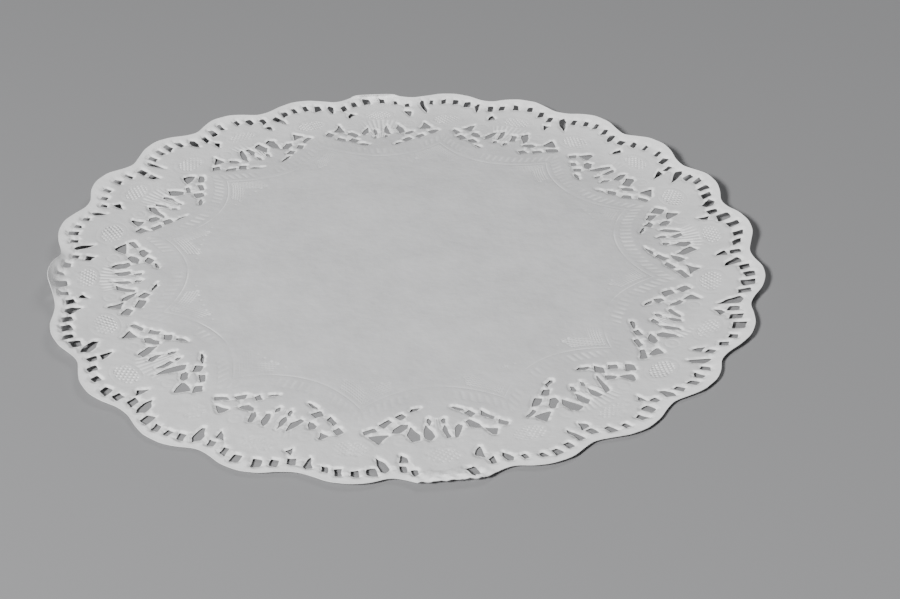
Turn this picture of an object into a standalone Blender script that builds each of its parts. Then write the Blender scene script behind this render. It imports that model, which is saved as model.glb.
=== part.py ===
# Round die-cut paper lace doily, embossed, lying on a flat surface with a rim that lifts unevenly.
# Metres, +Z up. The origin is the middle of the flat underside. Bearings run anticlockwise from +X.
# The paper is one closed sheet: a flat chart of the outline and its holes is triangulated,
# then every point is carried to the bent sheet, once for the underside and once for the top.

import math

import bpy
import numpy as np
from mathutils import Vector
from mathutils.geometry import delaunay_2d_cdt

MM = 0.001

# Sheet, in millimetres
SHEET_THICKNESS = 1.0
RIM_MEAN_RADIUS = 145.1         # middle of the scalloped edge
SCALLOP_DEPTH = 4.45            # crest to valley
SCALLOP_FLATTENING = 0.25       # broadens crests and valleys alike
SCALLOP_ALTERNATION = 0.14      # every other scallop reaches this much further
POINTS_PER_SCALLOP = 8

# Layout of the lace
REPEATS = 12
REPEAT_ANGLE = 360.0 / REPEATS
FIRST_FAN_BEARING = 6.4
LADDER_HOLES = 12               # round the rim, in each repeat
LADDER_INSET = 6.2              # from the edge to the middle of a ladder hole
HOLE_SEED = 24

# How the sheet departs from its flat chart, at the in-between scallops: how far the rim lifts,
# reaches beyond its mean radius, and slips round the centre. The lace inside the rim has its own
# reach and slip, at the fans. All ease in between the radii below.
LIFT_START_RADIUS = 112.0
LIFT_CURVE = 1.7
LACE_START_RADIUS = 55.0
LACE_FULL_RADIUS = 104.0
RIM_START_RADIUS = 121.0
RIM_FULL_RADIUS = 140.0
SLIP_START_RADIUS = 125.0
SLIP_FULL_RADIUS = 148.0
RIM_STATIONS = (
    # bearing, lift_mm, reach_mm, slip_deg, curl_mm
    (22.0, 4.6, -1.6, 0.45, 0.8),
    (52.0, 3.1, -3.7, 0.30, 2.2),
    (82.0, 0.8, -4.2, 0.20, 2.8),
    (112.0, 2.6, -4.7, 0.20, 1.9),
    (142.0, 5.3, -1.9, 0.47, 1.2),
    (172.0, 5.7, -1.1, 1.08, 0.0),
    (202.0, 3.6, 0.7, 1.74, 0.0),
    (232.0, 0.8, 3.6, 2.03, 0.0),
    (262.0, 1.5, 3.0, 1.79, 0.0),
    (292.0, 1.2, 1.9, 1.21, 0.0),
    (322.0, 1.3, 2.0, 0.69, 0.0),
    (352.0, 3.3, 1.7, 0.47, 0.0),
)
LACE_STATIONS = (
    # bearing, reach_mm, slip_deg
    (6.4, -0.1, -0.2),
    (36.4, -1.8, -0.2),
    (66.4, -2.9, -0.3),
    (96.4, -3.5, -0.3),
    (126.4, -1.1, -0.4),
    (156.4, -1.6, -1.0),
    (186.4, -1.4, -0.1),
    (216.4, -0.2, 1.6),
    (246.4, 2.6, 1.3),
    (276.4, 2.0, 0.6),
    (306.4, 2.5, 0.0),
    (336.4, 0.9, -1.2),
)

# Scallops whose plain band is turned differently: its edge's extra rise and pull inwards
RIM_CURLS = (
    # bearing, half_span_deg, rise_mm, pull_mm
    (97.0, 8.0, -2.0, 0.2),
    (187.0, 8.5, 3.0, 2.6),
)
CURL_WIDTH = 7.5

# One scallop's edge folded over on to the top, along a straight crease across its fan's axis
FOLD_REPEAT = 9
FOLD_CREASE_OUT = 143.9
FOLD_CREASE_SLOPE = -0.035
FOLD_REACH = 2.6                # how far the crushed scallop is drawn outwards
FOLD_HEIGHT = 0.9
FOLD_CLOSES_LADDER = 4.0        # degrees each side of the axis

# Raised work
BEAD_INSET = 2.3
BEAD_HEIGHT = 0.35
BEAD_POINTS_PER_SCALLOP = 4
MEDALLION_HEIGHT = 0.45
MEDALLION_POINTS = 6
MEDALLIONS = (
    # turn_deg, out_mm, half_across_mm, half_along_mm
    (0.0, 132.0, 5.4, 3.2),
    (15.0, 128.5, 5.4, 3.6),
)

# Points that keep the plain middle well shaped: radius_mm, count
MIDDLE_RINGS = ((18.0, 6), (48.0, 12), (78.0, 24), (97.0, 36))

# Corner points of each hole form, clockwise across and outward along, in half widths and half lengths
HOLE_FORMS = {
    "slot": ((-0.90, -1.00), (1.00, -0.85), (0.85, 1.00), (-1.00, 0.90)),
    "gable": ((-1.00, -0.90), (1.00, -0.45), (0.80, 0.00), (-0.20, 1.00)),
    "pennant": ((0.80, -1.00), (1.00, 0.85), (0.60, 1.00), (-1.00, 0.10)),
    "oval": ((-0.95, -0.50), (-0.10, -1.00), (0.85, -0.55), (0.95, 0.45), (0.15, 1.00), (-0.80, 0.60)),
    "blade": ((-0.10, -1.00), (0.90, -0.35), (0.85, 0.45), (0.25, 1.00), (-0.90, 0.75), (-0.70, -0.10)),
    "tear": ((-0.90, -0.80), (0.10, -1.00), (0.95, -0.40), (0.80, 1.00), (0.25, 0.95)),
    "drop": ((0.20, -1.00), (1.00, 0.80), (-0.90, 1.00), (-0.60, 0.10)),
    "tail": ((0.55, -1.00), (1.00, -0.90), (0.85, 1.00), (-0.95, 0.90), (-0.65, 0.15)),
}

# The fan's holes. Turn and lean are clockwise, from the fan's axis and from the radius
FAN_HOLES = (
    # name, turn_deg, out_mm, length_mm, width_mm, lean_deg, form
    ("tip_before", -12.0, 116.3, 3.7, 3.2, -45.0, "slot"),
    ("tip_after", 12.4, 115.3, 5.0, 2.3, 56.0, "slot"),
    ("corner_before", -9.8, 119.8, 6.2, 4.8, -18.0, "pennant"),
    ("corner_after", 10.6, 119.6, 5.8, 6.5, 0.0, "gable"),
    ("cheek_before", -6.9, 114.7, 5.2, 3.4, -48.0, "oval"),
    ("cheek_after", 6.9, 113.6, 6.1, 3.8, 50.0, "oval"),
    ("hem_before", -7.0, 108.3, 3.6, 3.1, -38.0, "slot"),
    ("hem_after", 6.5, 106.9, 3.5, 2.8, 45.0, "slot"),
    ("rib_outer_before", -3.75, 116.1, 6.8, 3.1, 14.0, "tear"),
    ("rib_outer_after", 4.3, 117.8, 7.4, 3.8, -14.0, "blade"),
    ("rib_inner_before", -1.45, 116.3, 6.6, 2.5, 2.0, "blade"),
    ("rib_inner_after", 1.65, 116.8, 6.7, 3.0, -6.0, "blade"),
    ("shoulder_after", 6.5, 131.3, 4.2, 3.6, -8.0, "drop"),
)

# The tall slits at the valleys, hung from the rim end
VALLEY_SLITS = (
    # turn_deg, length_mm, width_mm, lean_deg
    (9.2, 8.4, 3.3, -24.0),
    (-9.4, 9.2, 3.4, -20.0),
)
VALLEY_SLIT_INSET = 4.6
LADDER_SPREAD = 0.35            # degrees, away from the fan's axis on both sides
LADDER_LENGTH = 3.8
LADDER_WIDTH = 3.2

# How far the punching has opened or closed each repeat's holes
PUNCHING = (
    # ladder_before_axis, ladder_after_axis, fan, slit_before_length
    (1.12, 1.00, 1.08, 0.55),
    (0.88, 1.00, 0.90, 0.50),
    (0.84, 0.90, 0.86, 0.50),
    (1.08, 0.84, 0.88, 0.55),
    (1.08, 1.00, 0.96, 0.50),
    (0.80, 1.00, 1.00, 0.60),
    (1.12, 0.92, 1.00, 0.55),
    (1.12, 0.96, 1.00, 0.96),
    (1.00, 0.92, 0.90, 0.55),
    (0.86, 1.00, 1.00, 0.50),
    (0.96, 0.92, 1.06, 0.55),
    (1.22, 0.88, 1.06, 1.00),
)
SIZE_SCATTER = 0.10
PLACE_SCATTER = 0.30            # mm
LEAN_SCATTER = 6.0              # degrees
CORNER_SCATTER = 0.12           # of a half size

PAPER_COLOUR = (0.86, 0.86, 0.87, 1.0)
PAPER_ROUGHNESS = 0.72


def smoothstep(low, high, value):
    t = np.clip((value - low) / (high - low), 0.0, 1.0)
    return t * t * (3.0 - 2.0 * t)


def edgeRadius(bearing):
    """Radius of the scalloped edge at a bearing in degrees, before the rim bends."""
    a = np.radians(bearing - FIRST_FAN_BEARING)
    scallops = 2 * REPEATS
    return (RIM_MEAN_RADIUS
            + 0.5 * SCALLOP_DEPTH * np.cos(scallops * a)
            - SCALLOP_FLATTENING * np.cos(2 * scallops * a)
            + SCALLOP_ALTERNATION * np.cos(0.5 * scallops * a))


def station(rows, column, bearing):
    """One column of a table of stations as a smooth closed curve through its rows (Catmull-Rom)."""
    rows = np.array(rows)
    count = len(rows)
    place = (np.asarray(bearing) - rows[0, 0]) / (360.0 / count)
    index = np.floor(place).astype(int)
    t = place - index
    before, start, end, after = (rows[(index + step) % count, column] for step in (-1, 0, 1, 2))
    cubic = after - before + 3.0 * (start - end)
    square = 2.0 * before - 5.0 * start + 4.0 * end - after
    return start + 0.5 * t * (end - before + t * (square + t * cubic))


def wrapped(angle):
    return (np.asarray(angle) + 180.0) % 360.0 - 180.0


def fanBearing(index):
    return FIRST_FAN_BEARING + REPEAT_ANGLE * index


def creaseOut(across):
    return FOLD_CREASE_OUT + FOLD_CREASE_SLOPE * across


def fanFrame(points, index):
    """Chart points as distances clockwise across and out along one fan's axis."""
    a = math.radians(fanBearing(index))
    across = points[:, 0] * math.sin(a) - points[:, 1] * math.cos(a)
    out = points[:, 0] * math.cos(a) + points[:, 1] * math.sin(a)
    return across, out


def fromFanFrame(across, out, index):
    a = math.radians(fanBearing(index))
    return np.stack([across * math.sin(a) + out * math.cos(a),
                     -across * math.cos(a) + out * math.sin(a)], axis=1)


def outlinePoints():
    """The scalloped edge, with one scallop cut straight along its crease."""
    count = 2 * REPEATS * POINTS_PER_SCALLOP
    bearing = FIRST_FAN_BEARING + np.arange(count) * 360.0 / count
    radius = edgeRadius(bearing)
    points = np.stack([radius * np.cos(np.radians(bearing)), radius * np.sin(np.radians(bearing))], axis=1)
    across, out = fanFrame(points, FOLD_REPEAT)
    cut = np.minimum(out, creaseOut(across))
    return fromFanFrame(across, cut, FOLD_REPEAT)


def holePoints(bearing, middleAcross, out, length, width, lean, form, random):
    """One hole's corners: a form stretched, leaned clockwise from the radius, and roughened."""
    corners = np.array(HOLE_FORMS[form])
    corners = corners + random.uniform(-CORNER_SCATTER, CORNER_SCATTER, corners.shape)
    corners = corners * (0.5 * width, 0.5 * length)
    lean = math.radians(lean + random.uniform(-LEAN_SCATTER, LEAN_SCATTER))
    across = corners[:, 0] * math.cos(lean) + corners[:, 1] * math.sin(lean)
    along = corners[:, 1] * math.cos(lean) - corners[:, 0] * math.sin(lean)
    across = across + middleAcross + random.uniform(-PLACE_SCATTER, PLACE_SCATTER)
    along = along + out + random.uniform(-PLACE_SCATTER, PLACE_SCATTER)
    a = math.radians(bearing)
    return np.stack([across * math.sin(a) + along * math.cos(a),
                     -across * math.cos(a) + along * math.sin(a)], axis=1)


def allHoles():
    random = np.random.default_rng(HOLE_SEED)
    holes = []
    for index in range(REPEATS):
        before, after, fan, slitBefore = PUNCHING[index]
        axis = fanBearing(index)
        for name, turn, out, length, width, lean, form in FAN_HOLES:
            size = fan * random.uniform(1 - SIZE_SCATTER, 1 + SIZE_SCATTER)
            holes.append(holePoints(axis - turn, 0.0, out, size * length, size * width, lean, form, random))
        for turn, length, width, lean in VALLEY_SLITS:
            size = (after if turn > 0 else before) * random.uniform(1 - SIZE_SCATTER, 1 + SIZE_SCATTER)
            if turn < 0:
                length, lean = length * slitBefore, lean * slitBefore
            out = float(edgeRadius(axis - turn)) - VALLEY_SLIT_INSET
            across = -0.5 * length * math.sin(math.radians(lean))
            along = out - 0.5 * length * math.cos(math.radians(lean))
            holes.append(holePoints(axis - turn, across, along, length, size * width, lean, "tail", random))
        for step in range(LADDER_HOLES):
            turn = (step + 0.5) * REPEAT_ANGLE / LADDER_HOLES
            turn = turn if turn < 0.5 * REPEAT_ANGLE else turn - REPEAT_ANGLE
            fromAxis = 2.0 * turn / REPEAT_ANGLE
            turn = turn + math.copysign(LADDER_SPREAD * (1.0 - fromAxis ** 4), turn)
            size = (after if turn > 0 else before) * random.uniform(1 - SIZE_SCATTER, 1 + SIZE_SCATTER)
            corners = holePoints(axis - turn, 0.0, float(edgeRadius(axis - turn)) - LADDER_INSET,
                                 size * LADDER_LENGTH, size * LADDER_WIDTH, 0.0, "slot", random)
            valley = min(abs(turn - row[0]) for row in VALLEY_SLITS) < 0.7
            folded = index == FOLD_REPEAT and abs(turn) < FOLD_CLOSES_LADDER
            if not valley and not folded:
                holes.append(corners)
    return holes


def raisedPoints():
    """Loose points of the raised work, and of the plain middle, with how far each stands proud."""
    points, heights = [], []
    count = 2 * REPEATS * BEAD_POINTS_PER_SCALLOP
    for bearing in FIRST_FAN_BEARING + (np.arange(count) + 0.5) * 360.0 / count:
        radius = float(edgeRadius(bearing)) - BEAD_INSET
        points.append((radius * math.cos(math.radians(bearing)), radius * math.sin(math.radians(bearing))))
        heights.append(BEAD_HEIGHT)
    for index in range(REPEATS):
        for turn, out, halfAcross, halfAlong in MEDALLIONS:
            a = math.radians(fanBearing(index) - turn)
            ring = np.radians(np.arange(MEDALLION_POINTS) * 360.0 / MEDALLION_POINTS)
            across = np.append(0.8 * halfAcross * np.cos(ring), 0.0)
            along = out + np.append(0.8 * halfAlong * np.sin(ring), 0.0)
            for x, y in zip(across, along):
                points.append((x * math.sin(a) + y * math.cos(a), -x * math.cos(a) + y * math.sin(a)))
                heights.append(MEDALLION_HEIGHT)
    for radius, number in MIDDLE_RINGS:
        for bearing in np.radians(np.arange(number) * 360.0 / number + radius):
            points.append((radius * math.cos(bearing), radius * math.sin(bearing)))
            heights.append(0.0)
    return np.array(points), np.array(heights)


def foldHeight(points):
    """Extra thickness under the folded-over strip: the mirror of what the crease cut off."""
    across, out = fanFrame(points, FOLD_REPEAT)
    bearing = fanBearing(FOLD_REPEAT) - np.degrees(np.arctan2(across, 2 * creaseOut(across) - out))
    reach = edgeRadius(bearing)
    mirrored = np.hypot(across, 2 * creaseOut(across) - out)
    near = (np.abs(across) < 22.0) & (out > 130.0)
    return np.where(near & (mirrored < reach + 0.05), FOLD_HEIGHT, 0.0)


def bend(points):
    """Carry flat chart points to the lifted, slipped and curled sheet's underside."""
    radius = np.hypot(points[:, 0], points[:, 1])
    bearing = np.degrees(np.arctan2(points[:, 1], points[:, 0])) % 360.0
    rim = smoothstep(RIM_START_RADIUS, RIM_FULL_RADIUS, radius)
    lace = smoothstep(LACE_START_RADIUS, LACE_FULL_RADIUS, radius) * (1.0 - rim)
    climb = np.clip((radius - LIFT_START_RADIUS) / (RIM_MEAN_RADIUS - LIFT_START_RADIUS), 0.0, None)
    height = station(RIM_STATIONS, 1, bearing) * climb ** LIFT_CURVE
    reach = station(RIM_STATIONS, 2, bearing) * rim + station(LACE_STATIONS, 1, bearing) * lace
    rimSlip = smoothstep(SLIP_START_RADIUS, SLIP_FULL_RADIUS, radius)
    laceSlip = smoothstep(LACE_START_RADIUS, LACE_FULL_RADIUS, radius) * (1.0 - rimSlip)
    slip = station(RIM_STATIONS, 3, bearing) * rimSlip + station(LACE_STATIONS, 2, bearing) * laceSlip
    curl = np.clip((radius - edgeRadius(bearing) + CURL_WIDTH) / CURL_WIDTH, 0.0, None) ** 1.5
    turnedUp = station(RIM_STATIONS, 4, bearing) * curl
    height = height + turnedUp
    reach = reach - turnedUp ** 2 / (2.0 * CURL_WIDTH)
    for place, halfSpan, rise, pull in RIM_CURLS:
        share = 1.0 - smoothstep(0.35, 1.0, np.abs(wrapped(bearing + slip - place)) / halfSpan)
        height = height + rise * share * curl
        reach = reach - pull * share * curl
    fromFold = np.abs(wrapped(bearing - fanBearing(FOLD_REPEAT)))
    reach = reach + FOLD_REACH * (1.0 - smoothstep(4.0, 10.0, fromFold)) * smoothstep(128.0, 142.0, radius)
    turned = np.radians(bearing + slip)
    return np.stack([(radius + reach) * np.cos(turned), (radius + reach) * np.sin(turned), height], axis=1)


def ringEdges(start, count):
    return [(start + step, start + (step + 1) % count) for step in range(count)]


def flatSheet():
    """Triangulate the chart: corners, triangles, which loops bound it, and each point's relief."""
    loops = [outlinePoints()] + allHoles()
    loose, looseHeights = raisedPoints()
    starts = np.cumsum([0] + [len(loop) for loop in loops])
    chart = np.concatenate(loops + [loose])
    relief = np.concatenate([np.zeros(starts[-1]), looseHeights])
    edges, faces = [], []
    for start, loop in zip(starts, loops):
        edges += ringEdges(int(start), len(loop))
        faces.append(list(range(int(start), int(start) + len(loop))))
    found = delaunay_2d_cdt([Vector(point) for point in chart], edges, faces, 1, 1e-6, True)
    places, triangles, sources, inside = found[0], found[2], found[3], found[5]
    kept = [tri for tri, owners in zip(triangles, inside) if list(owners) == [0]]
    order = np.array([source[0] for source in sources])
    flat = np.array([(place[0], place[1]) for place in places])
    assert len(flat) == len(chart), "loops cross or touch"
    return flat, kept, relief[order]


def sheetMesh(name):
    flat, triangles, relief = flatSheet()
    underside = bend(flat)
    top = underside + (0.0, 0.0, 1.0) * (SHEET_THICKNESS + relief + foldHeight(flat))[:, None]
    low, high = underside.min(axis=0), underside.max(axis=0)
    middle = np.array([0.5 * (low[0] + high[0]), 0.5 * (low[1] + high[1]), 0.0])
    count = len(flat)
    border = {}
    for a, b, c in triangles:
        for start, end in ((a, b), (b, c), (c, a)):
            if (end, start) in border:
                del border[(end, start)]
            else:
                border[(start, end)] = True
    faces = [(c, b, a) for a, b, c in triangles]
    faces += [(a + count, b + count, c + count) for a, b, c in triangles]
    for start, end in border:
        faces.append((start, end, end + count))
        faces.append((start, end + count, start + count))
    corners = (np.concatenate([underside, top]) - middle) * MM
    used = np.unique(np.array(faces))
    renumber = np.zeros(len(corners), dtype=int)
    renumber[used] = np.arange(len(used))
    mesh = bpy.data.meshes.new(name)
    mesh.from_pydata(corners[used].tolist(), [], renumber[np.array(faces)].tolist())
    mesh.validate()
    mesh.update()
    return mesh


def paperMaterial():
    material = bpy.data.materials.new("doily_paper")
    material.use_nodes = True
    shader = material.node_tree.nodes["Principled BSDF"]
    shader.inputs["Base Color"].default_value = PAPER_COLOUR
    shader.inputs["Roughness"].default_value = PAPER_ROUGHNESS
    shader.inputs["Metallic"].default_value = 0.0
    return material


def main():
    for thing in list(bpy.data.objects):
        bpy.data.objects.remove(thing, do_unlink=True)
    doily = bpy.data.objects.new("doily", sheetMesh("doily"))
    doily.data.materials.append(paperMaterial())
    bpy.context.scene.collection.objects.link(doily)


main()
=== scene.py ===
import math

import bpy
import numpy as np
from mathutils import Matrix, Vector
from mathutils.geometry import delaunay_2d_cdt


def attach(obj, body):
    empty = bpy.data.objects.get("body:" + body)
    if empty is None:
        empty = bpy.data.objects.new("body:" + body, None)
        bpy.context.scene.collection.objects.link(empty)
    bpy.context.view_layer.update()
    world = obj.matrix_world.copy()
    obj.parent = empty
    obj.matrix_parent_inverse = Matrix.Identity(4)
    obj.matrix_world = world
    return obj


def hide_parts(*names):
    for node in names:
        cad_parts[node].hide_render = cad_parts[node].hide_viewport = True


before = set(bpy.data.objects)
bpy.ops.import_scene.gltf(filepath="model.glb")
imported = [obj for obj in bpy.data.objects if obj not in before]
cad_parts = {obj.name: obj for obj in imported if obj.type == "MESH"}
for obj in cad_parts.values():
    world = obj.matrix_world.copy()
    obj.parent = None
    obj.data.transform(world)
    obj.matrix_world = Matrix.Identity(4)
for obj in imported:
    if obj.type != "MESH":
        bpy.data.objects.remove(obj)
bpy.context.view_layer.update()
mm = 0.001


# The flat chart, in millimetres: x and y in the sheet, bearings anticlockwise from x

cut = {
    "rimRadius": 145.1,          # middle of the scalloped edge
    "scallopDepth": 4.45,        # crest to valley
    "scallopFlattening": 0.25,   # broadens the crests and sharpens the valleys
    "scallopAlternation": 0.14,  # the scallops on a fan's axis stand out more
    "pointsPerScallop": 26,
    "boxPointsPerScallop": 8,
    "edgeWaver": 0.10,           # a punched edge is never quite true
    "edgeWaves": ((37, 1.0, 1.0), (61, 0.7, 2.0), (113, 0.5, 0.0)),  # waves in all, share, phase
    "repeats": 12,
    "firstFan": 6.4,             # bearing of the first fan's axis
}
repeatAngle = 360.0 / cut["repeats"]

# How the sheet departs from its flat chart: rim at the in-between scallops, lace at the fans
lay = {
    "liftStart": 112.0,          # radius where the sheet leaves the table
    "liftCurve": 1.7,            # power of the climb from there to the rim
    "laceEase": (55.0, 104.0),   # radii between which the lace's reach and slip set in
    "rimEase": (121.0, 140.0),   # the same for the rim's reach
    "slipEase": (125.0, 148.0),  # and for the rim's slip
    "curlWidth": 16.0,           # width of the band that the stations' curl turns up
    "tightCurlWidth": 7.5,       # width of the band that rimCurls turns up
    "curlPower": 1.5,
    "curlCore": 0.35,            # share of a rim curl's half span that is turned up in full
    "rimStations": (
        # bearing, lift, reach, slip in degrees, curl
        (22.0, 4.7, -1.6, 0.45, 0.7),
        (52.0, 3.6, -3.7, 0.30, 1.7),
        (82.0, 0.9, -4.2, 0.20, 2.7),
        (112.0, 3.2, -4.7, 0.20, 1.3),
        (142.0, 5.6, -1.9, 0.47, 0.9),
        (172.0, 5.7, -1.1, 1.08, 0.0),
        (202.0, 3.6, 0.7, 1.74, 0.0),
        (232.0, 0.8, 3.6, 2.03, 0.0),
        (262.0, 1.5, 3.0, 1.79, 0.0),
        (292.0, 1.2, 1.9, 1.21, 0.0),
        (322.0, 1.3, 2.0, 0.69, 0.0),
        (352.0, 3.3, 1.7, 0.47, 0.0),
    ),
    "laceStations": (
        # bearing, reach, slip in degrees
        (6.4, -0.1, -0.2),
        (36.4, -1.8, -0.2),
        (66.4, -2.9, -0.3),
        (96.4, -3.5, -0.3),
        (126.4, -1.1, -0.4),
        (156.4, -1.6, -1.0),
        (186.4, -1.4, -0.1),
        (216.4, -0.2, 1.6),
        (246.4, 2.6, 1.3),
        (276.4, 2.0, 0.6),
        (306.4, 2.5, 0.0),
        (336.4, 0.9, -1.2),
    ),
    "rimCurls": (
        # bearing, half span in degrees, rise, pull
        (187.0, 8.5, 2.5, 2.3),
    ),
    "foldRepeat": 9,
    "foldCrease": 143.9,
    "foldSlope": -0.035,
    "foldReach": 2.6,            # how far the crushed scallop is drawn out
    "foldFade": (4.0, 10.0),     # degrees from the fold's axis over which that ends
    "foldEase": (128.0, 142.0),  # and radii between which it sets in
}


def ease(low, high, value):  # 3t^2 - 2t^3, from 0 at low to 1 at high
    t = np.clip((value - low) / (high - low), 0.0, 1.0)
    return t * t * (3.0 - 2.0 * t)


def wrapped(angle):  # to between -180 and 180 degrees
    return (angle + 180.0) % 360.0 - 180.0


def fanBearing(index):
    return cut["firstFan"] + index * repeatAngle


def foldBearing(fold):
    return fanBearing(fold["repeat"]) - fold["turn"]


def edgeRadius(bearing):  # a circle with two dozen flattened cosine scallops
    a = np.radians(bearing - cut["firstFan"])
    scallops = 2 * cut["repeats"]
    return (cut["rimRadius"] + 0.5 * cut["scallopDepth"] * np.cos(scallops * a)
            - cut["scallopFlattening"] * np.cos(2 * scallops * a)
            + cut["scallopAlternation"] * np.cos(0.5 * scallops * a))


def station(rows, column, bearing):  # a smooth closed curve through a table's rows (Catmull-Rom)
    rows = np.array(rows)
    count = len(rows)
    place = (np.asarray(bearing) - rows[0, 0]) / (360.0 / count)
    index = np.floor(place).astype(int)
    t = place - index
    before, start, end, after = (rows[(index + step) % count, column] for step in (-1, 0, 1, 2))
    cubic = after - before + 3.0 * (start - end)
    square = 2.0 * before - 5.0 * start + 4.0 * end - after
    return start + 0.5 * t * (end - before + t * (square + t * cubic))


def places(x, y):
    return np.stack([x, y], axis=-1)


def polar(radius, bearing):
    return places(radius * np.cos(np.radians(bearing)), radius * np.sin(np.radians(bearing)))


def fromMiddle(points):  # radius and bearing of every point
    return np.hypot(points[:, 0], points[:, 1]), np.degrees(np.arctan2(points[:, 1], points[:, 0]))


def toFan(points, bearing):  # distances clockwise across and out along an axis
    a = math.radians(bearing)
    return (points[:, 0] * math.sin(a) - points[:, 1] * math.cos(a),
            points[:, 0] * math.cos(a) + points[:, 1] * math.sin(a))


def fromFan(across, out, bearing):
    a = math.radians(bearing)
    return places(across * math.sin(a) + out * math.cos(a), -across * math.cos(a) + out * math.sin(a))


def carry(points):  # chart to the lifted, slipped and curled sheet: x, y and height
    radius, bearing = fromMiddle(points)
    bearing = bearing % 360.0
    rim = ease(*lay["rimEase"], radius)
    lace = ease(*lay["laceEase"], radius) * (1.0 - rim)
    climb = np.clip((radius - lay["liftStart"]) / (cut["rimRadius"] - lay["liftStart"]), 0.0, None)
    rimLift, rimReach, rimSlip, rimCurl = (station(lay["rimStations"], i, bearing) for i in (1, 2, 3, 4))
    laceReach, laceSlip = (station(lay["laceStations"], i, bearing) for i in (1, 2))
    height = rimLift * climb ** lay["liftCurve"]
    reach = rimReach * rim + laceReach * lace
    rimShare = ease(*lay["slipEase"], radius)
    laceShare = ease(*lay["laceEase"], radius) * (1.0 - rimShare)
    slip = rimSlip * rimShare + laceSlip * laceShare
    inset = edgeRadius(bearing) - radius
    width = lay["curlWidth"]
    turnedUp = rimCurl * np.clip(1.0 - inset / width, 0.0, None) ** lay["curlPower"]
    height = height + turnedUp
    reach = reach - turnedUp ** 2 / (2.0 * width)
    curl = np.clip(1.0 - inset / lay["tightCurlWidth"], 0.0, None) ** lay["curlPower"]
    for place, halfSpan, rise, pull in lay["rimCurls"]:
        share = 1.0 - ease(lay["curlCore"], 1.0, np.abs(wrapped(bearing + slip - place)) / halfSpan)
        height = height + rise * share * curl
        reach = reach - pull * share * curl
    fromFold = np.abs(wrapped(bearing - fanBearing(lay["foldRepeat"])))
    drawnOut = (1.0 - ease(*lay["foldFade"], fromFold)) * ease(*lay["foldEase"], radius)
    reach = reach + lay["foldReach"] * drawnOut
    turned = np.radians(bearing + slip)
    return np.stack([(radius + reach) * np.cos(turned), (radius + reach) * np.sin(turned), height], axis=1)


def boxMiddle():  # middle of the plain part's box, whose edge is cut straight along the fold
    count = 2 * cut["repeats"] * cut["boxPointsPerScallop"]
    bearing = cut["firstFan"] + np.arange(count) * 360.0 / count
    across, out = toFan(polar(edgeRadius(bearing), bearing), fanBearing(lay["foldRepeat"]))
    out = np.minimum(out, lay["foldCrease"] + lay["foldSlope"] * across)
    edge = carry(fromFan(across, out, fanBearing(lay["foldRepeat"])))
    return 0.5 * (edge.min(axis=0) + edge.max(axis=0)) * (1.0, 1.0, 0.0)


# The punched holes

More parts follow.
